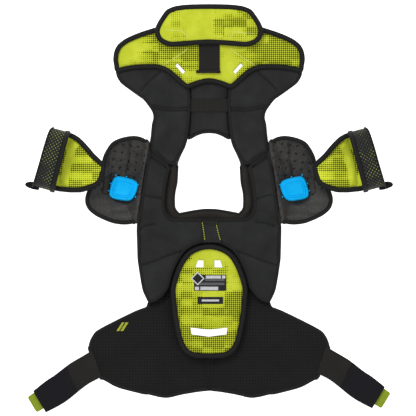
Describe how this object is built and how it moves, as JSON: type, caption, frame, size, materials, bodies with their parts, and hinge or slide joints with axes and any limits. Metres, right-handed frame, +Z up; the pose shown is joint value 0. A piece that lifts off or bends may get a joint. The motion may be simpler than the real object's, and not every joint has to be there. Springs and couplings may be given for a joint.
{
  "type": "hockey shoulder pads",
  "caption": "Ice hockey shoulder pads laid open liner side up: chest, yoke, back and kidney panels, cupped shoulder caps, bicep guards and belly straps.",
  "frame": {"origin": "on the floor under the middle of the opened-out pads", "axes": "+Y from the back panel over the shoulders to the chest, +X to the wearer's left, +Z up from the floor through the plates to the liner"},
  "size_m": [0.808, 0.894, 0.0864],
  "materials": {
    "black_liner": "brushed jersey laminated on foam, matte, slightly fuzzy",
    "lime_liner": "fine knit laminated on foam, printed with a black halftone of dots",
    "perforated_foam": "die-cut closed-cell foam with a staggered grid of small holes",
    "binding_tape": "ribbed elastic binding tape, matte",
    "knit_mesh": "warp-knit mesh with a regular grid of small holes",
    "elastic": "woven elastic webbing with lengthwise ribs",
    "hook_tape": "hook and loop tape",
    "strap_mesh": "spacer mesh with lime dots in a staggered lattice",
    "lime_webbing": "coarse woven webbing",
    "blue_rubber": "moulded soft rubber with raised ridges, satin",
    "black_plastic": "injection moulded polyethylene, fine texture",
    "eva_foam": "moulded closed-cell foam faced with nylon"
  },
  "bodies": {
    "back": {"back_liner": "black_liner", "spine_pad": "lime_liner", "spine_pad_binding": "binding_tape", "back_carrier": "eva_foam", "belt_center": "knit_mesh", "spine_plate_upper": "black_plastic", "spine_plate_lower": "black_plastic", "scapula_plate_left": "black_plastic", "scapula_plate_right": "black_plastic", "back_loop_tab": "black_liner"},
    "yoke": {"yoke_liner_left": "black_liner", "yoke_liner_right": "black_liner", "collar_foam": "eva_foam", "clavicle_plate_left": "black_plastic", "clavicle_plate_right": "black_plastic", "cap_hinge_strap_left": "elastic", "cap_hinge_strap_right": "elastic"},
    "chest": {"chest_panel": "lime_liner", "chest_panel_binding": "binding_tape", "chest_yoke_liner_left": "black_liner", "chest_yoke_liner_right": "black_liner", "throat_bib": "black_liner", "sternum_strap": "elastic", "chest_carrier": "eva_foam", "sternum_plate": "black_plastic", "pectoral_plate_left": "black_plastic", "pectoral_plate_right": "black_plastic"},
    "flap": {"belly_flap": "lime_liner", "belly_flap_binding": "binding_tape", "flap_hook_strap": "hook_tape"},
    "cap_left": {"cap_shell_left": "black_plastic", "cap_liner_left": "perforated_foam", "cap_binding_left": "binding_tape", "cap_lug_left": "blue_rubber", "guard_webbing_left": "elastic"},
    "guard_left": {"bicep_pad_left": "lime_liner", "bicep_shell_left": "black_plastic", "bicep_binding_left": "binding_tape"},
    "band_left": {"bicep_strap_left": "strap_mesh", "bicep_strap_tab_left": "hook_tape"},
    "wing_left": {"kidney_wing_left": "knit_mesh", "kidney_plate_left": "eva_foam"},
    "strap_left": {"belly_strap_left": "elastic", "belly_hook_patch_left": "hook_tape", "pull_tab_left": "lime_webbing"},
    "cap_right": {"cap_shell_right": "black_plastic", "cap_liner_right": "perforated_foam", "cap_binding_right": "binding_tape", "cap_lug_right": "blue_rubber", "guard_webbing_right": "elastic"},
    "guard_right": {"bicep_pad_right": "lime_liner", "bicep_shell_right": "black_plastic", "bicep_binding_right": "binding_tape"},
    "band_right": {"bicep_strap_right": "strap_mesh", "bicep_strap_tab_right": "hook_tape"},
    "wing_right": {"kidney_wing_right": "knit_mesh", "kidney_plate_right": "eva_foam"},
    "strap_right": {"belly_strap_right": "elastic", "belly_hook_patch_right": "hook_tape", "pull_tab_right": "lime_webbing"}
  },
  "joints": [
    {"name": "yoke_fold", "type": "hinge", "parent": "back", "child": "yoke", "pos_m": [0, -0.036, 0.0343], "axis": [1, 0, 0], "range_deg": [0, 90]},
    {"name": "chest_fold", "type": "hinge", "parent": "yoke", "child": "chest", "pos_m": [0, 0.122, 0.0343], "axis": [1, 0, 0], "range_deg": [0, 90]},
    {"name": "flap_slide", "type": "slide", "parent": "chest", "child": "flap", "axis": [0, 1, 0], "range_m": [-0.02, 0.02]},
    {"name": "cap_left_fold", "type": "hinge", "parent": "yoke", "child": "cap_left", "pos_m": [0.1345, 0.15, 0.0465], "axis": [-0.1515, 0.9885, 0], "range_deg": [-70, 0]},
    {"name": "guard_left_swing", "type": "hinge", "parent": "cap_left", "child": "guard_left", "pos_m": [0.229, 0.084, 0.056], "axis": [-0.2554, 0.9668, 0], "range_deg": [-50, 0]},
    {"name": "band_left_open", "type": "hinge", "parent": "guard_left", "child": "band_left", "pos_m": [0.30231, 0.16667, 0.046], "axis": [-0.9668, -0.2554, 0], "range_deg": [0, 100]},
    {"name": "wing_left_wrap", "type": "hinge", "parent": "back", "child": "wing_left", "pos_m": [0.136, -0.31, 0.0177], "axis": [0, -1, 0], "range_deg": [0, 85]},
    {"name": "strap_left_fold", "type": "hinge", "parent": "wing_left", "child": "strap_left", "pos_m": [0.2665, -0.315, 0.0142], "axis": [0.3601, 0.9329, 0], "range_deg": [-120, 0]},
    {"name": "cap_right_fold", "type": "hinge", "parent": "yoke", "child": "cap_right", "pos_m": [-0.1345, 0.15, 0.0465], "axis": [-0.1515, -0.9885, 0], "range_deg": [-70, 0]},
    {"name": "guard_right_swing", "type": "hinge", "parent": "cap_right", "child": "guard_right", "pos_m": [-0.229, 0.084, 0.056], "axis": [-0.2554, -0.9668, 0], "range_deg": [-50, 0]},
    {"name": "band_right_open", "type": "hinge", "parent": "guard_right", "child": "band_right", "pos_m": [-0.30231, 0.16667, 0.046], "axis": [-0.9668, 0.2554, 0], "range_deg": [0, 100]},
    {"name": "wing_right_wrap", "type": "hinge", "parent": "back", "child": "wing_right", "pos_m": [-0.136, -0.31, 0.0177], "axis": [0, 1, 0], "range_deg": [0, 85]},
    {"name": "strap_right_fold", "type": "hinge", "parent": "wing_right", "child": "strap_right", "pos_m": [-0.2665, -0.315, 0.0142], "axis": [0.3601, -0.9329, 0], "range_deg": [-120, 0]}
  ]
}
